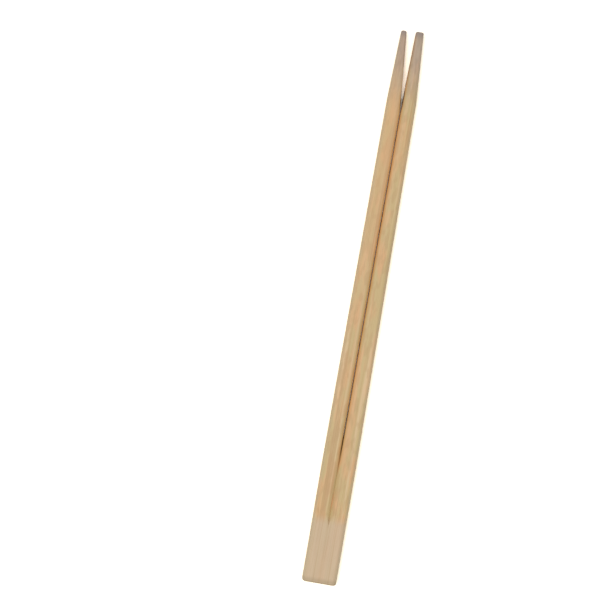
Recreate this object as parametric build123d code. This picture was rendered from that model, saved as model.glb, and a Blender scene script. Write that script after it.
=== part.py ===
from build123d import *
from typing import NamedTuple
import math
import os

# A pair of disposable chopsticks made from one strip of bamboo, not yet broken apart.
# Lengths are in millimetres. X runs across the pair, Y runs from the butt to the tips, Z is up.
# The origin lies under the middle of the pair, on the surface that it rests on.
# Places along the pair are distances from the butt, and heights are from its middle plane.

# The strip as it is sawn, which stays bare at the head
length = 230.0
head_width = 14.2
head_thickness = 5.0
head_edge_radius = 1.86
butt_edge_radius = 0.8

# The planed body, which lies a little below the head on both faces
plane_depth = 0.15
planed_from = 31.0
cutter_radius = 20.0
body_edge_radius = 1.9
side_crease = 12.0  # degrees between the side wall and the rounding where they meet
straight_run = 19.0  # how far the planed body keeps its full width
neck_width = 12.2  # where the points begin

# The groove that the same cutter leaves between the two sticks
groove_width = 3.8
groove_depth = 1.1
split_offset = 0.35  # how far left of the middle the split line starts at the butt
split_drift = 0.5  # how far to the right the split line has run by the tips

# The slit, cut by a thin round blade that comes down through the upper face
slit_width = 0.4
slit_from = 50.0
blade_radius = 60.0
blade_reach = 0.5  # how far the blade comes out below the strip

# The points, which differ a little from each other
point_length = 29.5
left_tip_width = 2.3
right_tip_width = 3.3
left_tip_shortfall = 0.45
tip_thickness = 2.7
tip_edge_radius = 0.9
tip_end_radius = 0.5

# The gap between the points, cut from the upper face by a round blade that follows the slit
gap_length = 33.7
gap_blade_radius = 20.0
gap_blade_reach = 0.7
tip_gap = 3.75
gap_offset = 0.9  # how far left of the middle the gap lies at the tips

# What follows from these
middle = head_thickness / 2
face_height = middle - plane_depth
half_slit = slit_width / 2
narrow_from = planed_from + straight_run
neck_from = length - point_length
gap_from = length - gap_length
gap_arbor_height = gap_blade_radius - middle - gap_blade_reach
gap_arbor = gap_from + math.sqrt(gap_blade_radius**2 - (gap_arbor_height - face_height) ** 2)
parted_from = gap_arbor - math.sqrt(gap_blade_radius**2 - (gap_arbor_height + face_height) ** 2)
LEFT = -1
RIGHT = 1
CLEAR = 2.0  # how far a cutting form stands out past what it cuts
WALL_SHARE = 0.45  # the most of a wall that one rounding may take
END_RATIO = 0.8  # the most that an end's rounding may be of the long edges' rounding
END_STEPS = 4  # bands in the rounding of a tip's end


class StickSection(NamedTuple):
    """One stick's section: its walls, its faces, and how far its roundings reach."""

    outer_x: float
    inner_x: float
    face: float
    outer_run: float
    outer_drop: float
    inner_run: float
    inner_drop: float


def at(x, height, from_butt):
    """A point given across the pair, above its middle plane and from the butt."""
    return Vector(x, from_butt - length / 2, middle + height)


def blend(first, last, share):
    """The value, or the section, that lies the given share of the way from first to last."""
    if isinstance(first, StickSection):
        return StickSection(*(blend(a, b, share) for a, b in zip(first, last)))
    return first + (last - first) * share


def split_x(from_butt):
    """The line of the split, which runs a little askew."""
    return split_drift * from_butt / length - split_offset


def half_width(from_butt):
    """Half the width of the planed body: constant at first, then narrowing up to the points."""
    if from_butt <= narrow_from:
        return head_width / 2
    share = (from_butt - narrow_from) / (neck_from - narrow_from)
    return blend(head_width, neck_width, share) / 2


def tip_end(side):
    """How far from the butt a stick ends."""
    return length if side == RIGHT else length - left_tip_shortfall


def gap_wall(side, from_butt):
    """Where the gap's wall runs, from the slit's wall to the tip."""
    start = split_x(gap_from) + side * half_slit
    share = (from_butt - gap_from) / (tip_end(side) - gap_from)
    return blend(start, tip_section(side, 0.0).inner_x, share)


def with_groove(section, side, from_butt, inner_x):
    """A stick's section with its inner edge in the groove, cut off at the given wall."""
    groove_radius = (groove_width**2 / 4 + groove_depth**2) / (2 * groove_depth)
    run = groove_width / 2 - abs(inner_x - split_x(from_butt))
    drop = groove_radius - math.sqrt(groove_radius**2 - run**2)
    return section._replace(inner_x=inner_x, inner_run=run, inner_drop=drop)


def body_section(side, from_butt, inner_x):
    """A stick's section in the planed body or where its point begins, cut off at a wall."""
    crease = math.radians(side_crease)
    radius = min(body_edge_radius, 2 * WALL_SHARE * face_height)
    section = StickSection(
        outer_x=side * half_width(min(from_butt, neck_from)),
        inner_x=inner_x,
        face=face_height,
        outer_run=radius * math.cos(crease),
        outer_drop=radius * (1 - math.sin(crease)),
        inner_run=0.0,
        inner_drop=0.0,
    )
    if from_butt > neck_from:
        share = (from_butt - neck_from) / (tip_end(side) - neck_from)
        section = blend(section, tip_section(side, 0.0), share)
    return with_groove(section, side, from_butt, inner_x)


def tip_section(side, inset):
    """A stick's section at its tip, drawn in all round where the end is rounded."""
    width = right_tip_width if side == RIGHT else left_tip_width
    inner_x = -gap_offset + side * tip_gap / 2
    radius = min(tip_edge_radius, WALL_SHARE * width, WALL_SHARE * tip_thickness) - inset
    return StickSection(
        outer_x=inner_x + side * (width - inset),
        inner_x=inner_x + side * inset,
        face=tip_thickness / 2 - inset,
        outer_run=radius,
        outer_drop=radius,
        inner_run=radius,
        inner_drop=radius,
    )


def rounding(wall_x, side, face, run, drop, from_butt):
    """An arc that starts on a wall and comes level with the face, which run and drop size."""
    turn = 2 * math.atan2(drop, run)
    radius = (run**2 + drop**2) / (2 * drop)
    level = math.copysign(1, face)

    def on_arc(angle):
        x = wall_x - side * (run - radius * math.sin(angle))
        return at(x, face - level * radius * (1 - math.cos(angle)), from_butt)

    return Edge.make_three_point_arc(on_arc(turn), on_arc(turn / 2), on_arc(0.0))


def roundings(side, cut, level, from_butt):
    """The outer and the inner rounding of one face of a stick, each from its wall."""
    face = level * cut.face
    outer = rounding(cut.outer_x, side, face, cut.outer_run, cut.outer_drop, from_butt)
    inner = rounding(cut.inner_x, -side, face, cut.inner_run, cut.inner_drop, from_butt)
    return outer, inner


def joined(edges):
    """A closed outline of the given edges, with straight edges where two don't meet."""
    chain = []
    for edge, following in zip(edges, edges[1:] + edges[:1]):
        chain.append(edge)
        if (edge @ 1 - following @ 0).length > 1e-6:
            chain.append(Edge.make_line(edge @ 1, following @ 0))
    return Wire(chain)


def stick_outline(side, cut, from_butt):
    """The outline of one stick's section."""
    upper_outer, upper_inner = roundings(side, cut, 1, from_butt)
    lower_outer, lower_inner = roundings(side, cut, -1, from_butt)
    return joined([upper_outer, upper_inner.reversed(), lower_inner, lower_outer.reversed()])


def face_profile(level, from_butt):
    """The four roundings across one face of the unslit body, from left to right."""
    left = body_section(LEFT, from_butt, split_x(from_butt))
    right = body_section(RIGHT, from_butt, split_x(from_butt))
    left_outer, left_inner = roundings(LEFT, left, level, from_butt)
    right_outer, right_inner = roundings(RIGHT, right, level, from_butt)
    return [left_outer, left_inner.reversed(), right_inner, right_outer.reversed()]


def pair_outline(from_butt):
    """The outline of the unslit body, with the web that joins the sticks."""
    upper = face_profile(1, from_butt)
    lower = [edge.reversed() for edge in reversed(face_profile(-1, from_butt))]
    return joined(upper + lower)


def cutter(level):
    """The round of the form cutter where it has come down to its full depth in one face."""
    cut = body_section(RIGHT, planed_from, split_x(planed_from))
    radius = min(body_edge_radius, 2 * WALL_SHARE * face_height)
    reach = half_width(planed_from) - cut.outer_run + radius
    face = level * face_height
    low = face - level * radius
    high = face + level * CLEAR
    wide = reach + CLEAR
    profile = joined(
        [
            Edge.make_line(at(-wide, high, planed_from), at(-wide, low, planed_from)),
            rounding(-reach, LEFT, face, radius, radius, planed_from),
            *face_profile(level, planed_from)[1:3],
            rounding(reach, RIGHT, face, radius, radius, planed_from).reversed(),
            Edge.make_line(at(wide, low, planed_from), at(wide, high, planed_from)),
        ]
    )
    arbor = Axis(at(0, face + level * cutter_radius, planed_from), (level, 0, 0))
    leaving = math.degrees(math.acos(1 - (plane_depth + groove_depth) / cutter_radius))
    return revolve(Face(profile), arbor, -2 * leaving)


def head():
    """The head block, with the marks that the cutter leaves as it enters both faces."""
    radius = min(head_edge_radius, WALL_SHARE * head_thickness)
    butt_plane = Plane(at(0, 0, 0), x_dir=(1, 0, 0), z_dir=(0, 1, 0))
    outline = butt_plane * RectangleRounded(head_width, head_thickness, radius)
    block = extrude(outline, amount=planed_from)
    butt = block.faces().sort_by(Axis.Y)[0]
    block = fillet(butt.edges(), min(butt_edge_radius, END_RATIO * radius))
    return block - cutter(1) - cutter(-1)


def body():
    """The planed body from the head to where the gap parts the sticks, not yet slit."""
    stations = [planed_from, narrow_from, neck_from, parted_from]
    return Solid.make_loft([pair_outline(station) for station in stations], ruled=True)


def blade_path(radius, reach, start):
    """All that a blade's disc passes over from where it meets the upper face, as a wide slab."""
    arbor_height = radius - middle - reach
    low = arbor_height - radius
    high = middle + CLEAR
    arbor = start + math.sqrt(radius**2 - (arbor_height - face_height) ** 2)
    turn = math.acos((arbor_height - high) / radius)

    def on_rim(angle):
        height = arbor_height - radius * math.cos(angle)
        return at(-head_width, height, arbor - radius * math.sin(angle))

    rim = Edge.make_three_point_arc(on_rim(turn), on_rim(turn / 2), on_rim(0.0))
    far_end = Edge.make_line(at(-head_width, low, length), at(-head_width, high, length))
    return extrude(Face(joined([rim, far_end])), amount=2 * head_width, dir=(1, 0, 0))


def slot(start, end, wall_x):
    """An upright slot between two stations, whose walls wall_x places on either side."""
    depth = middle + CLEAR
    corners = [
        at(wall_x(side, from_butt), -depth, from_butt)
        for from_butt, side in ((start, LEFT), (start, RIGHT), (end, RIGHT), (end, LEFT))
    ]
    return extrude(Face(Wire.make_polygon(corners)), amount=2 * depth, dir=(0, 0, 1))


def slit():
    """The slit: a slot as wide as the blade along the split line, with the disc's round end."""

    def wall_x(side, from_butt):
        return split_x(from_butt) + side * half_slit

    return slot(0.0, length, wall_x) & blade_path(blade_radius, blade_reach, slit_from)


def gap_end():
    """The end of the gap, which widens from the slit and deepens with its blade's round."""
    opened = slot(gap_from, parted_from, gap_wall)
    return opened & blade_path(gap_blade_radius, gap_blade_reach, gap_from)


def point(side):
    """The pointed end of one stick, rounded at its very end."""
    opening = body_section(side, parted_from, gap_wall(side, parted_from))
    outlines = [stick_outline(side, opening, parted_from)]
    radius = min(tip_end_radius, END_RATIO * tip_section(side, 0.0).outer_run)
    for step in range(END_STEPS + 1):
        turn = math.radians(90 * step / END_STEPS)
        cut = tip_section(side, radius * (1 - math.cos(turn)))
        from_butt = tip_end(side) - radius * (1 - math.sin(turn))
        outlines.append(stick_outline(side, cut, from_butt))
    return Solid.make_loft(outlines, ruled=True)


def chopstick_pair():
    """The whole pair as one solid."""
    return (head() + body() - slit() - gap_end()) + point(LEFT) + point(RIGHT)


os.makedirs("parts", exist_ok=True)
export_step(chopstick_pair(), "parts/chopstick_pair.step")
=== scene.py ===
import math
from typing import NamedTuple

import bmesh
import bpy
import numpy as np
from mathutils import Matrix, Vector, noise

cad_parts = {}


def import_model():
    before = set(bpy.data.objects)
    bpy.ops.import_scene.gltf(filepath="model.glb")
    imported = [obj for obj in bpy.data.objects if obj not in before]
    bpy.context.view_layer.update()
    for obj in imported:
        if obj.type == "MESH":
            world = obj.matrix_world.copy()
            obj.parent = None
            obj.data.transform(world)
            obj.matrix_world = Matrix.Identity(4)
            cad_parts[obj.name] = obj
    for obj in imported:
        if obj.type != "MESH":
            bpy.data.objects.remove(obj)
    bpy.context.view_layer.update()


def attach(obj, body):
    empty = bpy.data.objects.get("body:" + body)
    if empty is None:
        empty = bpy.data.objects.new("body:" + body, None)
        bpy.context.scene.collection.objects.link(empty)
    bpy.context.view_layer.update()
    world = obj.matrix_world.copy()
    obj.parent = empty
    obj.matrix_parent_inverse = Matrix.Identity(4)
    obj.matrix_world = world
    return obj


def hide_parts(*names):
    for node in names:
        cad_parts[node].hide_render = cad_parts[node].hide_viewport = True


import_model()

# The pair's form is in millimetres: X across, distances from the butt, heights from its middle plane.
# The values are those of the CAD source.
MM = 0.001
LEFT = -1
RIGHT = 1
SIDES = (LEFT, RIGHT)

# The strip, which stays bare at the head
LENGTH = 230.0
HEAD_WIDTH = 14.2
HEAD_THICKNESS = 5.0
HEAD_RADIUS = 1.86
BUTT_RADIUS = 0.8

# The planed body
PLANE_DEPTH = 0.15
PLANED_FROM = 31.0
CUTTER_RADIUS = 20.0
BODY_RADIUS = 1.9
SIDE_CREASE = math.radians(12.0)
STRAIGHT_RUN = 19.0
NECK_WIDTH = 12.2

# The groove and the slit between the sticks
GROOVE_WIDTH = 3.8
GROOVE_DEPTH = 1.1
SPLIT_OFFSET = 0.35
SPLIT_DRIFT = 0.5
SLIT_WIDTH = 0.4
SLIT_FROM = 50.0
SLIT_BLADE_RADIUS = 60.0
SLIT_BLADE_REACH = 0.5

# The points and the gap between them
POINT_LENGTH = 29.5
TIP_WIDTHS = {LEFT: 2.3, RIGHT: 3.3}
LEFT_TIP_SHORTFALL = 0.45
TIP_THICKNESS = 2.7
TIP_RADIUS = 0.9
TIP_END_RADIUS = 0.5
GAP_LENGTH = 33.7
GAP_BLADE_RADIUS = 20.0
GAP_BLADE_REACH = 0.7
TIP_GAP = 3.75
GAP_OFFSET = 0.9

# What follows from these
TOP = HEAD_THICKNESS / 2
FACE = TOP - PLANE_DEPTH
SHOULDER = HEAD_WIDTH / 2 - BODY_RADIUS * math.cos(SIDE_CREASE)  # where the body's rounding begins
GROOVE_RADIUS = (GROOVE_WIDTH**2 / 4 + GROOVE_DEPTH**2) / (2 * GROOVE_DEPTH)
HALF_SLIT = SLIT_WIDTH / 2
NARROW_FROM = PLANED_FROM + STRAIGHT_RUN
NECK_FROM = LENGTH - POINT_LENGTH
GAP_FROM = LENGTH - GAP_LENGTH
TIP_ENDS = {LEFT: LENGTH - LEFT_TIP_SHORTFALL, RIGHT: LENGTH}

# Cells of the mesh around one stick, across the web, and in each rounded end
GROOVE_CELLS = 8
FLAT_CELLS = 34
ROUND_CELLS = 14
WALL_CELLS = 12
LEDGE_CELLS = 3
WEB_CELLS = 4
END_CELLS = 6

# Length of the mesh's cells along the pair
HEAD_CELL = 1.2
MARK_CELL = 0.25
BODY_CELL = 1.1
SLIT_END_CELL = 1.2
SLIT_CELL = 1.25
GAP_END_CELL = 0.35
POINT_CELL = 0.95

ACROSS_SLIT = np.linspace(-HALF_SLIT, HALF_SLIT, WEB_CELLS + 1)  # points of one row, from the split
MARK_FROM = 24.5  # from here to the planed body the cells are finer, for the cutter's mark
HALVINGS = 30  # of the search for the head's surface
TINY = 1e-6  # a length that makes no difference
WELD = 0.002  # points that lie closer than this are one
CREASE_ANGLE = math.radians(32)  # edges that turn by more than this stay sharp
SURFACE_DEPTH = 0.020  # how far the surface lies below the planed form, apart from the ripples

# The photograph's frame: where the middle of the pair lies in it, how it leans, and its scale
IMAGE_SIZE = 600
MIDDLE_PX = Vector((366.6, 307.05))
LEAN = math.radians(9.77)  # clockwise, with the tips up
PIXEL = 0.4091 * MM  # on the upper face
CAMERA_HEIGHT = 400 * MM
SENSOR = 36.0

# The floor and the light
FLOOR_REACH = 350 * MM
FLOOR_COLOUR = (0.9, 0.9, 0.89, 1.0)
FLOOR_SEEN = (1.68, 1.55, 1.32, 1.0)  # where it is seen as the background
AROUND = 0.39  # strength of the light from all round
LAMP_SIZE = 900 * MM
LAMP_POWER = 8.0
LAMP_PLACE = Vector((-200, -80, 1100)) * MM


class Blade(NamedTuple):
    """A round blade: its radius, and its middle from the butt and above the middle plane."""

    radius: float
    station: float
    height: float

    def reach(self, station):
        """The lowest height that the blade cuts at a station."""
        return self.height - np.sqrt(self.radius**2 - (station - self.station) ** 2)

    def meets(self, height):
        """The station where the blade's rim comes to a height."""
        return self.station - np.sqrt(self.radius**2 - (self.height - height) ** 2)


class Section(NamedTuple):
    """One stick's section: its walls, its face, and how far its roundings reach."""

    outer_x: float
    inner_x: float
    face: float
    outer_run: float
    outer_drop: float
    inner_run: float
    inner_drop: float


class Row(NamedTuple):
    """One stick's upper and lower outlines at a station."""

    station: float
    upper: np.ndarray
    lower: np.ndarray


def blend(first, last, share):
    """The value that lies the given share of the way from first to last."""
    return first + (last - first) * share


def split_x(station):
    """The line of the split, which runs a little askew."""
    return SPLIT_DRIFT * station / LENGTH - SPLIT_OFFSET


def half_width(station):
    """Half the width of the planed body."""
    share = np.clip((station - NARROW_FROM) / (NECK_FROM - NARROW_FROM), 0.0, 1.0)
    return blend(HEAD_WIDTH, NECK_WIDTH, share) / 2


def groove_drop(from_split):
    """How far the groove's flank lies below the face."""
    run = np.clip(GROOVE_WIDTH / 2 - np.abs(from_split), 0.0, None)
    return GROOVE_RADIUS - np.sqrt(GROOVE_RADIUS**2 - run**2)


def lowered_blade(radius, reach, start):
    """A blade that comes out below the strip by its reach, and meets the upper face at start."""
    height = radius - TOP - reach
    return Blade(radius, start + math.sqrt(radius**2 - (height - FACE) ** 2), height)


SLIT_BLADE = lowered_blade(SLIT_BLADE_RADIUS, SLIT_BLADE_REACH, SLIT_FROM)
GAP_BLADE = lowered_blade(GAP_BLADE_RADIUS, GAP_BLADE_REACH, GAP_FROM)

# Where the slit and the gap come into the upper face, and where they have come through the lower one
SLIT_TOP = SLIT_BLADE.meets(FACE - groove_drop(HALF_SLIT))
SLIT_BOTTOM = SLIT_BLADE.meets(-FACE + groove_drop(HALF_SLIT))
GAP_TOP = GAP_BLADE.meets(FACE - groove_drop(HALF_SLIT))
PARTED_FROM = GAP_BLADE.meets(-FACE)


def slit_x(side, station):
    """Where a wall of the slit runs."""
    return split_x(station) + side * HALF_SLIT


def gap_x(side, station):
    """Where a wall of the gap runs, from the slit's wall to the tip."""
    share = (station - GAP_FROM) / (TIP_ENDS[side] - GAP_FROM)
    return blend(slit_x(side, GAP_FROM), tip_section(side, 0.0).inner_x, share)


def body_section(side, station, inner_x):
    """A stick's section in the planed body or where its point begins, cut off at a wall."""
    from_split = np.abs(inner_x - split_x(station))
    cut = Section(
        outer_x=side * half_width(station),
        inner_x=inner_x,
        face=FACE,
        outer_run=BODY_RADIUS * math.cos(SIDE_CREASE),
        outer_drop=BODY_RADIUS * (1 - math.sin(SIDE_CREASE)),
        inner_run=0.0,
        inner_drop=0.0,
    )
    if station > NECK_FROM:
        share = (station - NECK_FROM) / (TIP_ENDS[side] - NECK_FROM)
        cut = Section(*(blend(a, b, share) for a, b in zip(cut, tip_section(side, 0.0))))
    run = GROOVE_WIDTH / 2 - from_split
    return cut._replace(inner_x=inner_x, inner_run=run, inner_drop=groove_drop(from_split))


def slit_section(side, station):
    """A stick's section in the planed body, cut off at the slit's wall or in line with it."""
    return body_section(side, station, slit_x(side, station))


def tip_section(side, inset):
    """A stick's section at its tip, drawn in all round where the end is rounded."""
    inner_x = -GAP_OFFSET + side * TIP_GAP / 2
    radius = TIP_RADIUS - inset
    return Section(
        outer_x=inner_x + side * (TIP_WIDTHS[side] - inset),
        inner_x=inner_x + side * inset,
        face=TIP_THICKNESS / 2 - inset,
        outer_run=radius,
        outer_drop=radius,
        inner_run=radius,
        inner_drop=radius,
    )


def arc(run, drop, cells):
    """Steps in from a wall and down from a face, along an arc that comes level with the face."""
    radius = (run**2 + drop**2) / (2 * drop)
    angle = np.linspace(2 * math.atan2(drop, run), 0.0, cells + 1)
    return run - radius * np.sin(angle), radius * (1 - np.cos(angle))


def outline(side, cut):
    """A stick's upper outline from its inner wall to its outer wall, as rows of x and height."""
    inner_in, inner_down = arc(cut.inner_run, cut.inner_drop, GROOVE_CELLS)
    outer_in, outer_down = arc(cut.outer_run, cut.outer_drop, ROUND_CELLS)
    inner_x = cut.inner_x + side * inner_in
    outer_x = cut.outer_x - side * outer_in[::-1]
    flat_x = np.linspace(inner_x[-1], outer_x[0], FLAT_CELLS + 1)[1:-1]
    x = np.concatenate([inner_x, flat_x, outer_x])
    down = np.concatenate([inner_down, np.zeros(len(flat_x)), outer_down[::-1]])
    return np.stack([x, cut.face - down], axis=1)


def cutter_height(x, station):
    """Height of the cutter's round over the upper face, where it comes down to the planed face."""
    past_shoulder = np.clip(np.abs(x) - SHOULDER, 0.0, BODY_RADIUS)
    edge_drop = BODY_RADIUS - np.sqrt(BODY_RADIUS**2 - past_shoulder**2)
    full_depth = FACE - groove_drop(x - split_x(PLANED_FROM)) - edge_drop
    arbor = FACE + CUTTER_RADIUS
    reach = (arbor - full_depth) ** 2 - (PLANED_FROM - station) ** 2
    return arbor - np.sqrt(np.clip(reach, 0.0, None))


def past_flats(x, height):
    """How far points of the head lie past its flat side and its flat face, in its rounding."""
    past_side = np.clip(np.abs(x) - HEAD_WIDTH / 2 + HEAD_RADIUS, 0.0, None)
    past_face = np.clip(height - TOP + HEAD_RADIUS, 0.0, None)
    return past_side, past_face


def in_head(x, height, station):
    """Whether points lie in the rounded block of the head, below the cutter."""
    in_block = np.hypot(*past_flats(x, height)) <= HEAD_RADIUS
    return in_block & (height <= cutter_height(x, station))


def head_outline(side, station):
    """The upper outline of one side of the head, with its points on the body's outline's rays."""
    points = outline(side, slit_section(side, station))
    level = points[:-ROUND_CELLS]
    level[:, 1] = np.minimum(TOP, cutter_height(level[:, 0], station))
    centre = np.array([side * SHOULDER, FACE - BODY_RADIUS])
    rays = (points[-ROUND_CELLS:] - centre) / BODY_RADIUS
    near, far = np.zeros(ROUND_CELLS), np.full(ROUND_CELLS, 2 * BODY_RADIUS)
    for _ in range(HALVINGS):
        middle = (near + far) / 2
        trial = centre + rays * middle[:, None]
        inside = in_head(trial[:, 0], trial[:, 1], station)
        near, far = np.where(inside, middle, near), np.where(inside, far, middle)
    points[-ROUND_CELLS:] = centre + rays * near[:, None]
    return points


def drawn_in(points, inset):
    """The head's upper outline, drawn in all round."""
    x, height = points[:, 0], points[:, 1]
    past_side, past_face = past_flats(x, height)
    size = np.hypot(past_side, past_face)
    drawn_x = x - inset * past_side * np.sign(x) / size
    return np.stack([drawn_x, height - inset * past_face / size], axis=1)


def web_height(x, station):
    """Height of the upper face across the web between the sticks."""
    if station < PLANED_FROM:
        return np.minimum(TOP, cutter_height(x, station))
    return FACE - groove_drop(x - split_x(station))


def end_rounding(radius):
    """Pairs of how far an end's rounding is drawn in and its distance from the end."""
    turns = np.linspace(0.0, math.pi / 2, END_CELLS + 1)
    return [(radius * (1 - math.cos(turn)), radius * (1 - math.sin(turn))) for turn in turns]


def spaced(first, last, cell):
    """Even stations about a cell apart, from first up to but without last."""
    count = max(1, round((last - first) / cell))
    return [blend(first, last, i / count) for i in range(count)]


def head_rows():
    """Stations and both sides' outlines from the butt to where the planed body starts."""
    full = {side: head_outline(side, BUTT_RADIUS) for side in SIDES}
    rows = []
    for inset, from_end in reversed(end_rounding(BUTT_RADIUS)):
        rows.append((from_end, {side: drawn_in(full[side], inset) for side in SIDES}))
    stations = spaced(BUTT_RADIUS, MARK_FROM, HEAD_CELL)[1:]
    stations += spaced(MARK_FROM, PLANED_FROM, MARK_CELL)
    return rows + [(s, {side: head_outline(side, s) for side in SIDES}) for s in stations]


def body_rows():
    """Stations and both sides' outlines of the planed body up to where the gap begins."""
    stations = spaced(PLANED_FROM, SLIT_TOP, BODY_CELL)
    stations += spaced(SLIT_TOP, SLIT_BOTTOM, SLIT_END_CELL)
    stations += spaced(SLIT_BOTTOM, GAP_TOP, SLIT_CELL)
    return [(s, {side: outline(side, slit_section(side, s)) for side in SIDES}) for s in stations]


def foot_x(side, station):
    """Where a stick's lower face begins: at the slit, or where the gap's end has come through."""
    from_slit = abs(slit_x(side, station) - split_x(station))
    from_gap = abs(gap_x(side, station) - split_x(station))
    face = slit_section(side, station).face
    drop = np.clip(face + GAP_BLADE.reach(station), 0.0, GROOVE_RADIUS)
    through = GROOVE_WIDTH / 2 - np.sqrt(GROOVE_RADIUS**2 - (GROOVE_RADIUS - drop) ** 2)
    return split_x(station) + side * np.clip(through, from_slit, from_gap)


def gap_end_rows(side):
    """One stick's rows where the gap widens from the slit and deepens to its full depth."""
    rows = []
    for s in spaced(GAP_TOP, PARTED_FROM, GAP_END_CELL):
        upper_x = gap_x(side, s) if rows else slit_x(side, s)
        lower_x = foot_x(side, s) if rows else slit_x(side, s)
        sections = (body_section(side, s, x) for x in (upper_x, lower_x))
        rows.append(Row(s, *(outline(side, cut) for cut in sections)))
    return rows


def point_rows(side):
    """One stick's rows from where the gap has its full depth to the tip."""
    end = TIP_ENDS[side]
    opening = outline(side, body_section(side, PARTED_FROM, gap_x(side, PARTED_FROM)))
    tip = outline(side, tip_section(side, 0.0))
    rounded_from = end - TIP_END_RADIUS
    rows = []
    for s in spaced(PARTED_FROM, rounded_from, POINT_CELL):
        points = blend(opening, tip, (s - PARTED_FROM) / (rounded_from - PARTED_FROM))
        rows.append(Row(s, points, points))
    for inset, from_end in end_rounding(TIP_END_RADIUS):
        points = outline(side, tip_section(side, inset))
        rows.append(Row(end - from_end, points, points))
    return rows


def in_frame(rows):
    """Points given as x, station and height, as places in the frame in metres."""
    rows = np.asarray(rows, dtype=float)
    return np.stack([rows[..., 0], rows[..., 1] - LENGTH / 2, rows[..., 2] + TOP], axis=-1) * MM


class Patches:
    """A mesh gathered from grids of points that share their edges."""

    def __init__(self):
        self.points = []
        self.faces = []
        self.count = 0

    def grid(self, rows):
        """Adds the quads of one grid, given as rows of points."""
        rows = in_frame(rows)
        height, width = rows.shape[:2]
        index = np.arange(height * width).reshape(height, width) + self.count
        corners = (index[:-1, :-1], index[:-1, 1:], index[1:, 1:], index[1:, :-1])
        self.points.append(rows.reshape(-1, 3))
        self.faces.append(np.stack(corners, axis=-1).reshape(-1, 4))
        self.count += height * width


def across(upper, lower, cells):
    """Rows of points from an upper row to a lower one."""
    shares = np.linspace(0.0, 1.0, cells + 1)[:, None, None]
    return blend(np.asarray(upper)[None], np.asarray(lower)[None], shares)


def placed(points, station, level=1):
    """An outline's points on the upper or the lower side, at a station."""
    stations = np.full(len(points), station)
    return np.stack([points[:, 0], stations, level * points[:, 1]], axis=1)


def inner_ends(row):
    """The upper and the lower end of a stick's inner wall."""
    return placed(row.upper[:1], row.station), placed(row.lower[:1], row.station, -1)


def wrapped(row):
    """A stick's outline over its upper side, down its outer wall and back under it."""
    upper, lower = placed(row.upper, row.station), placed(row.lower, row.station, -1)
    wall = across(upper[-1:], lower[-1:], WALL_CELLS)[1:-1, 0]
    return np.concatenate([upper, wall, lower[::-1]])


def slit_row(station, height):
    """A row of points across the slit's width, at the given stations and heights."""
    return np.stack([split_x(station) + ACROSS_SLIT, station, height], axis=1)


def web_row(station, sides, level):
    """A row of points across one face of the web, between the inner ends of both sides' outlines."""
    left, right = (sides[side][0] for side in SIDES)
    x = np.linspace(left[0], right[0], WEB_CELLS + 1)
    height = web_height(x, station) if station > BUTT_RADIUS else np.full(len(x), left[1])
    return np.stack([x, np.full(len(x), station), level * height], axis=1)


def web(rows, ends_at, level):
    """One face of the web between the sticks, up to where the slit cuts through it."""
    grid = [web_row(s, sides, level) for s, sides in rows if s < ends_at - TINY]
    height = level * (FACE - groove_drop(ACROSS_SLIT))
    return grid + [slit_row(SLIT_BLADE.meets(height), height)]


def slit_floor(stations, upper_end, lower_end):
    """The rounded end of the slit, between the two faces of the web."""
    shares = (stations - stations[0]) / (stations[-1] - stations[0])
    rows = []
    for share in shares:
        station = blend(upper_end[:, 1], lower_end[:, 1], share)
        rows.append(slit_row(station, SLIT_BLADE.reach(station)))
    return rows


def inner_wall(rows):
    """A stick's plain inner wall, beside the slit or beside the open gap."""
    grid = []
    for row in rows:
        upper, lower = inner_ends(row)
        if row.station < SLIT_BOTTOM - TINY:
            lower[0, 2] = SLIT_BLADE.reach(row.station)
        grid.append(across(upper, lower, WALL_CELLS)[:, 0])
    return grid


def gap_end_walls(rows):
    """A stick's inner side at the gap's end: the gap's wall, its floor and the slit's wall below."""
    walls, floors, slits = [], [], []
    for row in rows:
        upper, lower = inner_ends(row)
        outer, inner = upper.copy(), lower.copy()
        outer[0, 2] = inner[0, 2] = max(GAP_BLADE.reach(row.station), lower[0, 2])
        walls.append(across(upper, outer, WALL_CELLS)[:, 0])
        floors.append(across(outer, inner, LEDGE_CELLS)[:, 0])
        slits.append(across(inner, lower, WALL_CELLS)[:, 0])
    return walls, floors, slits


def stick(patches, side, shared):
    """Adds one stick outside the web, given the rows that the sticks share."""
    rows = [Row(s, sides[side], sides[side]) for s, sides in shared]
    gap_end, points = gap_end_rows(side), point_rows(side)
    patches.grid([wrapped(row) for row in rows + gap_end + points])
    patches.grid(inner_wall([row for row in rows if row.station > SLIT_TOP - TINY] + gap_end[:1]))
    for grid in gap_end_walls(gap_end + points[:1]):
        patches.grid(grid)
    patches.grid(inner_wall(points))
    tip = points[-1]
    patches.grid(across(placed(tip.upper, tip.station), placed(tip.lower, tip.station, -1), WALL_CELLS))


def butt_end(station, sides):
    """The flat end of the butt, within both sides' outlines at its station."""
    left, right = (placed(sides[side], station) for side in SIDES)
    upper = np.concatenate([left[::-1], web_row(station, sides, 1)[1:-1], right])
    return across(upper, upper * (1, 1, -1), WALL_CELLS)


def pair_patches():
    """The whole pair as grids of points."""
    patches = Patches()
    joined = head_rows() + body_rows()
    upper_web = web(joined, SLIT_TOP, 1)
    lower_web = web(joined, SLIT_BOTTOM, -1)
    patches.grid(upper_web)
    patches.grid(lower_web)
    slit_end = [s for s, _ in joined if SLIT_TOP - TINY < s < SLIT_BOTTOM - TINY] + [SLIT_BOTTOM]
    patches.grid(slit_floor(np.array(slit_end), upper_web[-1], lower_web[-1]))
    for side in SIDES:
        stick(patches, side, joined)
    patches.grid(butt_end(*joined[0]))
    return patches


class Ripple(NamedTuple):
    """One wave of the fibres' relief: its width, length and depth, and how many widths it is shifted."""

    width: float
    length: float
    depth: float
    shift: float


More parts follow.
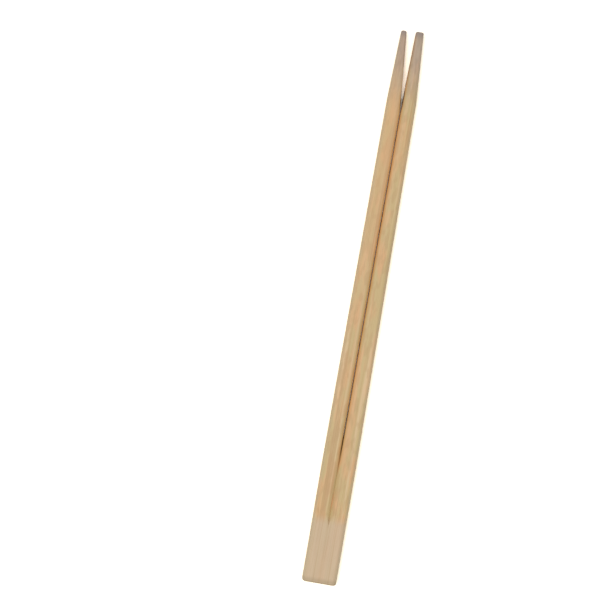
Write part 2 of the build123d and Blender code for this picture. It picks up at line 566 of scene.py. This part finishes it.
RIPPLES = (
    Ripple(width=0.45, length=70.0, depth=0.008, shift=0.0),
    Ripple(width=0.24, length=30.0, depth=0.005, shift=31.0),
    Ripple(width=6.0, length=28.0, depth=0.007, shift=7.0),
)


def relief(place):
    """How far the fibres leave the surface below its planed form, in millimetres."""
    x, y, z = place / MM
    depth = SURFACE_DEPTH
    for wave in RIPPLES:
        spot = Vector((x / wave.width + wave.shift, y / wave.length, z / wave.width))
        depth += wave.depth * noise.noise(spot)
    return depth


def weld(form):
    """Joins the patches along their shared edges and turns their faces outwards."""
    bmesh.ops.remove_doubles(form, verts=form.verts, dist=WELD * MM)
    bmesh.ops.dissolve_degenerate(form, edges=form.edges, dist=WELD * MM / 2)
    bmesh.ops.recalc_face_normals(form, faces=form.faces)
    form.normal_update()


def carve(form):
    """Sinks the surface by the fibres' relief."""
    moves = [(vert, vert.normal * relief(vert.co) * MM) for vert in form.verts]
    for vert, move in moves:
        vert.co -= move


def chopstick_pair():
    """The pair as one closed mesh with its fibres in relief."""
    patches = pair_patches()
    mesh = bpy.data.meshes.new("bamboo_pair")
    mesh.from_pydata(np.concatenate(patches.points).tolist(), [], np.concatenate(patches.faces).tolist())
    form = bmesh.new()
    form.from_mesh(mesh)
    weld(form)
    carve(form)
    form.to_mesh(mesh)
    form.free()
    mesh.shade_smooth()
    mesh.set_sharp_from_angle(angle=CREASE_ANGLE)
    pair = bpy.data.objects.new("bamboo_pair", mesh)
    bpy.context.scene.collection.objects.link(pair)
    return pair


class Step(NamedTuple):
    """A smooth step as a value goes from start to end, with the levels before and after it."""

    start: float
    end: float
    before: float = 0.0
    after: float = 1.0


class Coat(NamedTuple):
    """A colour, as the screen shows it, that comes in over another with a step."""

    colour: tuple
    step: Step


class Place(NamedTuple):
    """Where the surface lies, in millimetres, as outputs of nodes."""

    point: bpy.types.NodeSocket
    x: bpy.types.NodeSocket
    from_butt: bpy.types.NodeSocket
    from_split: bpy.types.NodeSocket
    from_wall: bpy.types.NodeSocket


class Pattern(NamedTuple):
    """A texture that runs along the strip: the width and length of its grain, and its fine detail."""

    width: float
    length: float
    detail: float = 0.0
    roughness: float = 0.5


class Grain(NamedTuple):
    """The textures of the bamboo, from 0 to 1, as outputs of nodes."""

    fine: bpy.types.NodeSocket
    streaks: bpy.types.NodeSocket
    broad: bpy.types.NodeSocket
    blotches: bpy.types.NodeSocket
    mottle: bpy.types.NodeSocket
    bundles: bpy.types.NodeSocket


# Sockets of the node that mixes, by number because their names repeat: first, second and result
MIX_SOCKETS = {"FLOAT": (2, 3, 0), "RGBA": (6, 7, 2)}

# The textures, from the finest to the largest grain, and the bundles' cells
FINE = Pattern(0.20, 60.0, detail=3.0, roughness=0.6)
STREAKS = Pattern(0.9, 110.0, detail=2.0)
MOTTLE = Pattern(1.4, 5.5, detail=1.0)
BROAD = Pattern(2.6, 70.0, detail=1.0)
BLOTCHES = Pattern(3.4, 17.0, detail=2.0)
BUNDLES = Pattern(0.8, 900.0)
BUNDLE_EDGE = Step(0.36, 0.16)  # from a bundle's middle

# The planed faces, whose coats follow the textures
ORANGE = (215, 172, 124)
OLIVE = (201, 176, 126)
DARK = (188, 153, 108)
FIBRE = (172, 130, 82)
ORANGE_BLOTCHES = Coat(ORANGE, Step(0.40, 0.60))
PALE_STREAKS = Coat((219, 190, 148), Step(0.46, 0.68, after=0.75))
OFF_GROOVE = Step(1.0, 2.2)  # from the wall of the slit
DARK_STREAKS = Coat(DARK, Step(0.44, 0.30, after=0.7))
DARK_MOTTLES = Coat(DARK, Step(0.54, 0.38, after=0.42))
FINE_FIBRES = Coat(FIBRE, Step(0.52, 0.74, after=0.36))
BUNDLE_STRENGTH = Step(0.35, 0.65, before=0.10, after=0.34)  # over the broad texture
GREY_EDGES = Coat((192, 178, 146), Step(1.7, 0.3, after=0.45))  # from the outer wall

# The warmer left stick, the head and the points, whose coats follow the distance from the butt
WARM_LEFT = Coat(ORANGE, Step(90.0, 180.0, after=0.4))
ON_LEFT = Step(0.5, -0.5)  # from the split
BARE_HEAD = Coat((203, 179, 149), Step(24.0, 29.0, before=0.8, after=0.0))
# The points turn greyer, and darker as painted shade of their rounding
GREY_SHADED_POINTS = Coat((173, 155, 140), Step(LENGTH - 36.0, LENGTH - 6.0, after=0.8))
STAINS = Coat((152, 134, 116), Step(198.0, 218.0, after=0.3))
STAINED = Step(0.60, 0.38)  # over the mottle texture
# Darker butt: end grain at its end, and painted shade over its rounding and the band within 3 mm of it
BUTT_GRAIN_AND_SHADE = (152, 134, 104)
BUTT_ROUNDING_SHADE = Step(3.0, 1.2, after=0.35)
BUTT_FACE = Step(0.9, 0.1, after=0.4)
# Darker tip ends: end grain at the ends, and painted shade over their last 4 mm
TIP_GRAIN_AND_SHADE = Coat((142, 128, 122), Step(LENGTH - 4.0, LENGTH - 0.6, after=0.75))

# The groove's flanks and the gap's root with painted shade, and the sawn walls, whose coats follow the
# distance from the wall
# Painted shade and warm bounce light: darker orange on the groove's flanks beside the slit and the gap
FLANK_SHADE = Coat((206, 148, 74), Step(1.1, 0.0, after=0.6))
WALLS = Step(0.16, 0.0, after=0.9)
WALL_AT_START = (138, 102, 54)
WALL_BEYOND = (206, 134, 56)
BEYOND_START = Step(55.0, 100.0)
SAWN_FROM = Step(SLIT_TOP - 8.0, SLIT_TOP + 5.0)
LEFT_SAWN_TO = Step(201.0, 207.0, before=1.0, after=0.1)
RIGHT_SAWN_TO = Step(203.0, 216.0, before=1.0, after=0.45)
ON_RIGHT = Step(0.0, 0.3)  # from the split
# Painted shade: near-black brown beside the walls at the gap's root
ROOT_SHADE = Coat((84, 50, 20), Step(0.5, 0.0, after=0.85))
ROOT_FROM = Step(194.0, 200.0)
ROOT_TO = Step(206.5, 203.0)

# The finish
PLANED_ROUGHNESS = Step(0.3, 0.7, before=0.54, after=0.70)  # over the fine texture
SAWN_ROUGHNESS = Step(0.3, 0.05)  # from the wall of the slit
BUNDLE_HEIGHT = -0.6
BUMP_STRENGTH = 0.4
BUMP_HEIGHT = 0.02 * MM


def put(tree, socket, value):
    """Sets a socket to a value, or links it to another socket."""
    if isinstance(value, bpy.types.NodeSocket):
        tree.links.new(value, socket)
    else:
        socket.default_value = value


def add(tree, kind, inputs=(), **settings):
    """A new node with its settings and its inputs, given by name or by number."""
    node = tree.nodes.new("ShaderNode" + kind)
    for name, value in settings.items():
        setattr(node, name, value)
    for name, value in dict(inputs).items():
        put(tree, node.inputs[name], value)
    return node


def maths(tree, operation, first, second=0.0, third=0.0):
    """The output of one maths node."""
    node = add(tree, "Math", {0: first, 1: second, 2: third}, operation=operation)
    return node.outputs[0]


def product(tree, first, *others):
    """All the values multiplied together."""
    for other in others:
        first = maths(tree, "MULTIPLY", first, other)
    return first


def stepped(tree, value, step):
    """The level that a step has at a value."""
    inputs = {
        "Value": value,
        "From Min": step.start,
        "From Max": step.end,
        "To Min": step.before,
        "To Max": step.after,
    }
    node = add(tree, "MapRange", inputs, interpolation_type="SMOOTHSTEP")
    return node.outputs["Result"]


def srgb(red, green, blue):
    """A colour written as the screen shows it, as the shader wants it."""
    def linear(c):
        c = c / 255
        return c / 12.92 if c <= 0.04045 else ((c + 0.055) / 1.055) ** 2.4
    return (linear(red), linear(green), linear(blue), 1.0)


def mixed(tree, share, first, second, kind="RGBA"):
    """A mix of two colours, or of two numbers where the kind is FLOAT."""
    from_first, from_second, result = MIX_SOCKETS[kind]
    inputs = {"Factor": share, from_first: first, from_second: second}
    return add(tree, "Mix", inputs, data_type=kind).outputs[result]


def coated(tree, colour, coat, value, *limits):
    """The colour with a coat over it that follows a value, thinned by the limits."""
    share = product(tree, stepped(tree, value, coat.step), *limits)
    return mixed(tree, share, colour, srgb(*coat.colour))


def stretched(tree, point, pattern):
    """The point measured in a pattern's grains, so that the texture runs along the strip."""
    shares = (1 / pattern.width, 1 / pattern.length, 1 / pattern.width)
    return add(tree, "VectorMath", {0: point, 1: shares}, operation="MULTIPLY").outputs[0]


def noised(tree, point, pattern):
    """A soft noise that follows a pattern."""
    inputs = {
        "Vector": stretched(tree, point, pattern),
        "Scale": 1.0,
        "Detail": pattern.detail,
        "Roughness": pattern.roughness,
    }
    return add(tree, "TexNoise", inputs, noise_dimensions="3D").outputs["Fac"]


def wall_distance(tree, from_split, from_butt):
    """How far a point lies outside the slit, or outside the gap where the points part."""
    opened = maths(tree, "MAXIMUM", maths(tree, "SUBTRACT", from_butt, GAP_FROM), 0.0)
    distances = []
    for side in SIDES:
        end = TIP_ENDS[side]
        at_tip = side * (tip_section(side, 0.0).inner_x - split_x(end))
        spread = (at_tip - HALF_SLIT) / (end - GAP_FROM)
        wall = maths(tree, "MULTIPLY_ADD", opened, spread, HALF_SLIT)
        distances.append(maths(tree, "SUBTRACT", product(tree, from_split, side), wall))
    return maths(tree, "MAXIMUM", *distances)


def side_distance(tree, place):
    """How far a point of the body lies inside its outer wall."""
    narrowing = (HEAD_WIDTH - NECK_WIDTH) / 2 / (NECK_FROM - NARROW_FROM)
    passed = maths(tree, "MAXIMUM", maths(tree, "SUBTRACT", place.from_butt, NARROW_FROM), 0.0)
    wall = maths(tree, "MULTIPLY_ADD", passed, -narrowing, HEAD_WIDTH / 2)
    return maths(tree, "SUBTRACT", wall, maths(tree, "ABSOLUTE", place.x))


def surface_place(tree):
    """Where each point of the surface lies in the pair's form."""
    coordinates = add(tree, "TexCoord").outputs["Object"]
    scaled = add(tree, "VectorMath", {0: coordinates, "Scale": 1 / MM}, operation="SCALE")
    point = scaled.outputs[0]
    parts = add(tree, "SeparateXYZ", {0: point})
    x = parts.outputs["X"]
    from_butt = maths(tree, "ADD", parts.outputs["Y"], LENGTH / 2)
    split = maths(tree, "MULTIPLY_ADD", from_butt, SPLIT_DRIFT / LENGTH, -SPLIT_OFFSET)
    from_split = maths(tree, "SUBTRACT", x, split)
    return Place(point, x, from_butt, from_split, wall_distance(tree, from_split, from_butt))


def bamboo_grain(tree, point):
    """The textures of the bamboo, which all run along the strip."""
    cells = add(tree, "TexVoronoi", {"Vector": stretched(tree, point, BUNDLES), "Scale": 1.0})
    return Grain(
        fine=noised(tree, point, FINE),
        streaks=noised(tree, point, STREAKS),
        broad=noised(tree, point, BROAD),
        blotches=noised(tree, point, BLOTCHES),
        mottle=noised(tree, point, MOTTLE),
        bundles=stepped(tree, cells.outputs["Distance"], BUNDLE_EDGE),
    )


def planed_faces(tree, place, grain):
    """Orange and olive blotches with paler and darker streaks, warmer along the left stick."""
    colour = coated(tree, srgb(*OLIVE), ORANGE_BLOTCHES, grain.blotches)
    off_groove = stepped(tree, place.from_wall, OFF_GROOVE)
    colour = coated(tree, colour, PALE_STREAKS, grain.broad, off_groove)
    colour = coated(tree, colour, DARK_STREAKS, grain.streaks)
    colour = coated(tree, colour, DARK_MOTTLES, grain.mottle)
    return coated(tree, colour, WARM_LEFT, place.from_butt, stepped(tree, place.from_split, ON_LEFT))


def with_head_and_points(tree, colour, place, grain):
    """The colour with the paler head, the greyer points with painted shade, and the greyer edges over
    it.
    """
    colour = coated(tree, colour, BARE_HEAD, place.from_butt)
    colour = coated(tree, colour, GREY_SHADED_POINTS, place.from_butt)
    colour = coated(tree, colour, STAINS, place.from_butt, stepped(tree, grain.mottle, STAINED))
    return coated(tree, colour, GREY_EDGES, side_distance(tree, place))


def with_fibres(tree, colour, grain):
    """The colour with the brown bundles and fibres over it."""
    share = product(tree, grain.bundles, stepped(tree, grain.broad, BUNDLE_STRENGTH))
    colour = mixed(tree, share, colour, srgb(*FIBRE))
    return coated(tree, colour, FINE_FIBRES, grain.fine)


def sawn_share(tree, place):
    """How much of the flanks' painted shade and the sawn walls' colours shows, from the slit's start to
    each stick's point.
    """
    started = stepped(tree, place.from_butt, SAWN_FROM)
    left = stepped(tree, place.from_butt, LEFT_SAWN_TO)
    right = stepped(tree, place.from_butt, RIGHT_SAWN_TO)
    on_right = stepped(tree, place.from_split, ON_RIGHT)
    return product(tree, started, mixed(tree, on_right, left, right, "FLOAT"))


def with_sawn_walls(tree, colour, place):
    """The colour with the groove's flanks and the gap's root darkened as painted shade, and the sawn
    walls' browns, over it.
    """
    shown = sawn_share(tree, place)
    colour = coated(tree, colour, FLANK_SHADE, place.from_wall, shown)
    beyond = stepped(tree, place.from_butt, BEYOND_START)
    wall_colour = mixed(tree, beyond, srgb(*WALL_AT_START), srgb(*WALL_BEYOND))
    wall = product(tree, stepped(tree, place.from_wall, WALLS), shown)
    colour = mixed(tree, wall, colour, wall_colour)
    root_shade_span = [stepped(tree, place.from_butt, step) for step in (ROOT_FROM, ROOT_TO)]
    return coated(tree, colour, ROOT_SHADE, place.from_wall, *root_shade_span)


def with_ends(tree, colour, place):
    """The colour with the darker ends of the butt and of the tips over it: end grain, and painted shade
    of their roundings.
    """
    butt = [stepped(tree, place.from_butt, step) for step in (BUTT_ROUNDING_SHADE, BUTT_FACE)]
    colour = mixed(tree, maths(tree, "ADD", *butt), colour, srgb(*BUTT_GRAIN_AND_SHADE))
    return coated(tree, colour, TIP_GRAIN_AND_SHADE, place.from_butt)


def bamboo_colour(tree, place, grain):
    """The colour of the whole pair, from the planed faces to its ends."""
    colour = planed_faces(tree, place, grain)
    colour = with_head_and_points(tree, colour, place, grain)
    colour = with_fibres(tree, colour, grain)
    colour = with_sawn_walls(tree, colour, place)
    return with_ends(tree, colour, place)


def bamboo():
    """Planed bamboo: fine fibres, streaks and darker bundles that run its whole length."""
    material = bpy.data.materials.new("bamboo")
    material.use_nodes = True
    tree = material.node_tree
    shader = tree.nodes["Principled BSDF"]
    place = surface_place(tree)
    grain = bamboo_grain(tree, place.point)
    put(tree, shader.inputs["Base Color"], bamboo_colour(tree, place, grain))
    planed = stepped(tree, grain.fine, PLANED_ROUGHNESS)
    sawn = stepped(tree, place.from_wall, SAWN_ROUGHNESS)
    put(tree, shader.inputs["Roughness"], maths(tree, "MAXIMUM", planed, sawn))
    height = maths(tree, "MULTIPLY_ADD", grain.bundles, BUNDLE_HEIGHT, grain.fine)
    bump = add(tree, "Bump", {"Height": height, "Strength": BUMP_STRENGTH, "Distance": BUMP_HEIGHT})
    put(tree, shader.inputs["Normal"], bump.outputs["Normal"])
    return material


def background_seen(tree):
    """1 for rays that show the background: straight, mirrored or through glass."""
    path = add(tree, "LightPath")
    seen = maths(tree, "MAXIMUM", path.outputs["Is Camera Ray"], path.outputs["Is Glossy Ray"])
    return maths(tree, "MAXIMUM", seen, path.outputs["Is Transmission Ray"])


def floor_material():
    """Plain white where it is seen, and pale where it only throws light back."""
    material = bpy.data.materials.new("floor")
    material.use_nodes = True
    tree = material.node_tree
    tree.nodes.remove(tree.nodes["Principled BSDF"])
    shade = mixed(tree, background_seen(tree), FLOOR_COLOUR, FLOOR_SEEN)
    diffuse = add(tree, "BsdfDiffuse", {"Color": shade})
    put(tree, tree.nodes["Material Output"].inputs["Surface"], diffuse.outputs[0])
    return material


def floor():
    """A plain floor that keeps the shadow of the pair. The world is white beyond it."""
    mesh = bpy.data.meshes.new("floor")
    corners = [(x * FLOOR_REACH, y * FLOOR_REACH, 0) for x, y in ((-1, -1), (1, -1), (1, 1), (-1, 1))]
    mesh.from_pydata(corners, [], [(0, 1, 2, 3)])
    mesh.materials.append(floor_material())
    plane = bpy.data.objects.new("floor", mesh)
    bpy.context.scene.collection.objects.link(plane)


def world():
    """Even light from all round, which is white where it is seen as the background."""
    studio = bpy.data.worlds.new("studio")
    studio.use_nodes = True
    tree = studio.node_tree
    background = tree.nodes["Background"]
    background.inputs["Color"].default_value = (1.0, 1.0, 1.0, 1.0)
    strength = maths(tree, "MULTIPLY_ADD", background_seen(tree), 1.0 - AROUND, AROUND)
    put(tree, background.inputs["Strength"], strength)
    bpy.context.scene.world = studio


def lamp():
    """A wide soft lamp above, a little to the left."""
    disk = bpy.data.lights.new("key", "AREA")
    disk.shape = "DISK"
    disk.size = LAMP_SIZE
    disk.energy = LAMP_POWER
    key = bpy.data.objects.new("key", disk)
    key.location = LAMP_PLACE
    key.rotation_euler = (-LAMP_PLACE).to_track_quat("-Z", "Y").to_euler()
    bpy.context.scene.collection.objects.link(key)


def camera():
    """Straight above the middle of the photograph's frame."""
    right = Vector((math.cos(LEAN), math.sin(LEAN), 0))
    up = Vector((-math.sin(LEAN), math.cos(LEAN), 0))
    offset = MIDDLE_PX - Vector((IMAGE_SIZE / 2, IMAGE_SIZE / 2))
    eye = -right * offset.x * PIXEL + up * offset.y * PIXEL
    data = bpy.data.cameras.new("camera")
    data.sensor_width = SENSOR
    data.lens = SENSOR * (CAMERA_HEIGHT - HEAD_THICKNESS * MM) / (IMAGE_SIZE * PIXEL)
    view = bpy.data.objects.new("camera", data)
    view.location = eye + Vector((0, 0, CAMERA_HEIGHT))
    view.rotation_euler = (0, 0, LEAN)
    bpy.context.scene.collection.objects.link(view)
    bpy.context.scene.camera = view


pair = chopstick_pair()
pair.data.materials.append(bamboo())
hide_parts("chopstick_pair")
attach(pair, "root")
floor()
world()
lamp()
camera()
bpy.context.scene.view_settings.view_transform = "Standard"
